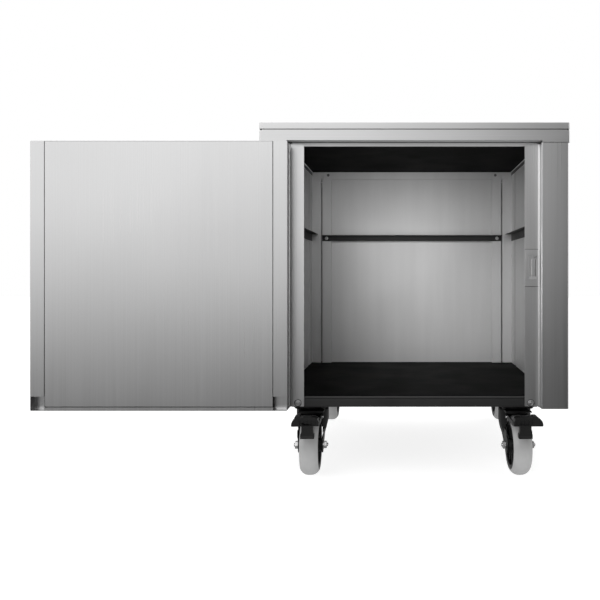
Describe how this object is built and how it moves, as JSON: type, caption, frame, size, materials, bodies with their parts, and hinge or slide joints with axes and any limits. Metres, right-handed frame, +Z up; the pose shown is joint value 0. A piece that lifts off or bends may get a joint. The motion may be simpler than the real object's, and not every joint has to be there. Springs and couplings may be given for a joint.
{
  "type": "undercounter cabinet",
  "caption": "Mobile stainless undercounter cabinet with a hinged door, shelf rails and swivel casters under a flat worktop.",
  "frame": {"origin": "bottom centre of the whole object's bounding box with the door fully open, on the floor", "axes": "+X to the right across the front, away from the open door; +Y from the open front to the back; +Z up"},
  "size_m": [1.341, 0.7896, 0.898],
  "materials": {
    "stainless": "satin",
    "black_steel": "satin",
    "black_board": "matte",
    "black_plastic": "satin",
    "grey_tread": "matte",
    "zinc": "satin",
    "door_core": "matte"
  },
  "bodies": {
    "cabinet": {"worktop_skin": "stainless", "worktop_core": "black_board", "ceiling_panel": "black_steel", "fascia_front": "stainless", "fascia_left": "stainless", "fascia_right": "stainless", "fascia_rear": "stainless", "left_side_shell": "stainless", "right_side_shell": "stainless", "left_jamb_screw": "zinc", "right_jamb_screw": "zinc", "header_rail": "stainless", "left_inner_panel": "stainless", "right_inner_panel": "stainless", "back_frame": "stainless", "top_rail_left": "stainless", "top_rail_right": "stainless", "back_inner_panel": "stainless", "back_outer_panel": "stainless", "floor_panel": "black_steel", "base_front_rail": "black_steel", "base_rear_rail": "black_steel", "base_left_rail": "black_steel", "base_right_rail": "black_steel", "front_caster_channel": "black_steel", "rear_caster_channel": "black_steel", "shelf_rail_rear": "black_steel", "shelf_rail_left": "black_steel", "shelf_rail_right": "black_steel", "catch_plate": "stainless", "catch_housing": "black_plastic", "catch_pole_piece": "zinc", "hinge_frame_leaf": "stainless", "hinge_pin": "zinc", "front_left_caster_plate": "black_steel", "front_right_caster_plate": "black_steel", "rear_left_caster_plate": "black_steel", "rear_right_caster_plate": "black_steel"},
    "door": {"door_outer_pan": "stainless", "door_inner_panel": "stainless", "door_core": "door_core", "hinge_door_leaf": "stainless"},
    "front_left_swivel": {"front_left_fork": "black_steel", "front_left_axle_bolt": "zinc"},
    "front_left_wheel": {"front_left_wheel_hub": "black_plastic", "front_left_tyre": "grey_tread"},
    "front_left_pedal": {"front_left_brake_pedal": "black_plastic"},
    "front_right_swivel": {"front_right_fork": "black_steel", "front_right_axle_bolt": "zinc"},
    "front_right_wheel": {"front_right_wheel_hub": "black_plastic", "front_right_tyre": "grey_tread"},
    "front_right_pedal": {"front_right_brake_pedal": "black_plastic"},
    "rear_left_swivel": {"rear_left_fork": "black_steel", "rear_left_axle_bolt": "zinc"},
    "rear_left_wheel": {"rear_left_wheel_hub": "black_plastic", "rear_left_tyre": "grey_tread"},
    "rear_right_swivel": {"rear_right_fork": "black_steel", "rear_right_axle_bolt": "zinc"},
    "rear_right_wheel": {"rear_right_wheel_hub": "black_plastic", "rear_right_tyre": "grey_tread"}
  },
  "joints": [
    {"name": "door_hinge", "type": "hinge", "parent": "cabinet", "child": "door", "pos_m": [-0.0363, -0.3517, 0.5125], "axis": [0, 0, 1], "range_deg": [0, 180]},
    {"name": "front_left_swivel_turn", "type": "hinge", "parent": "cabinet", "child": "front_left_swivel", "pos_m": [0.01, -0.2522, 0.163], "axis": [0, 0, 1], "continuous": true},
    {"name": "front_left_wheel_spin", "type": "hinge", "parent": "front_left_swivel", "child": "front_left_wheel", "pos_m": [0.01209, -0.30015, 0.075], "axis": [0.999, 0.0436, 0], "continuous": true},
    {"name": "front_left_brake", "type": "hinge", "parent": "front_left_swivel", "child": "front_left_pedal", "pos_m": [0.01192, -0.29616, 0.146], "axis": [0.999, 0.0436, 0], "range_deg": [0, 10]},
    {"name": "front_right_swivel_turn", "type": "hinge", "parent": "cabinet", "child": "front_right_swivel", "pos_m": [0.547, -0.2522, 0.163], "axis": [0, 0, 1], "continuous": true},
    {"name": "front_right_wheel_spin", "type": "hinge", "parent": "front_right_swivel", "child": "front_right_wheel", "pos_m": [0.54842, -0.30018, 0.075], "axis": [0.9996, 0.0297, 0], "continuous": true},
    {"name": "front_right_brake", "type": "hinge", "parent": "front_right_swivel", "child": "front_right_pedal", "pos_m": [0.54831, -0.29618, 0.146], "axis": [0.9996, 0.0297, 0], "range_deg": [0, 10]},
    {"name": "rear_left_swivel_turn", "type": "hinge", "parent": "cabinet", "child": "rear_left_swivel", "pos_m": [-0.0045, 0.2718, 0.163], "axis": [0, 0, 1], "continuous": true},
    {"name": "rear_left_wheel_spin", "type": "hinge", "parent": "rear_left_swivel", "child": "rear_left_wheel", "pos_m": [-0.00534, 0.3198, 0.075], "axis": [-0.9998, -0.0175, 0], "continuous": true},
    {"name": "rear_right_swivel_turn", "type": "hinge", "parent": "cabinet", "child": "rear_right_swivel", "pos_m": [0.5927, 0.2718, 0.163], "axis": [0, 0, 1], "continuous": true},
    {"name": "rear_right_wheel_spin", "type": "hinge", "parent": "rear_right_swivel", "child": "rear_right_wheel", "pos_m": [0.5927, 0.3198, 0.075], "axis": [-1, 0, 0], "continuous": true}
  ]
}
